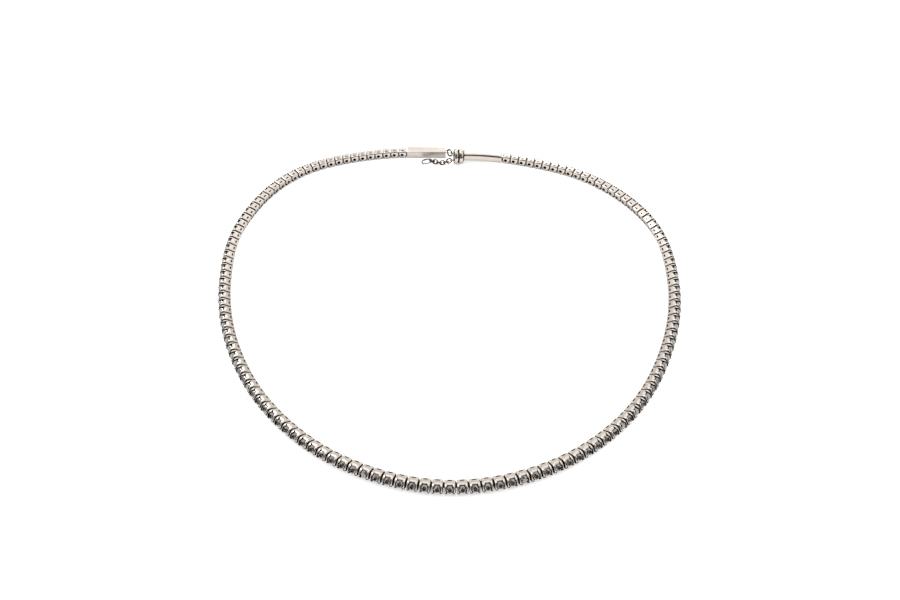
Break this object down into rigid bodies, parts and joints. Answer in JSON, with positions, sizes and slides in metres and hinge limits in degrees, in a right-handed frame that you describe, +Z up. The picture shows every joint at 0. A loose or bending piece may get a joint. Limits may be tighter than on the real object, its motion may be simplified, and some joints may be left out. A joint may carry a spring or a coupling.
{
  "type": "diamond line necklace",
  "caption": "Line necklace of hinged box links, each set with a round diamond, closed at the back by two plain bars, a barrel clasp and a short safety chain.",
  "frame": {"origin": "centre of the bounding box's underside, on the surface that the necklace lies on", "axes": "+Z up from the surface, +Y toward the clasp at the back, +X toward the right-hand half of the chain, seen from above with the clasp at the top"},
  "size_m": [0.1404, 0.1356, 0.0054],
  "materials": {
    "white_gold": "polished",
    "diamond": "clear, faceted"
  },
  "bodies": {
    "root": {"links_left": "white_gold", "links_right": "white_gold", "stones_left": "diamond", "stones_right": "diamond", "bar_left": "white_gold", "bar_right": "white_gold", "barrel_clasp": "white_gold", "jump_ring": "white_gold", "safety_chain": "white_gold", "safety_catch": "white_gold"}
  },
  "joints": []
}
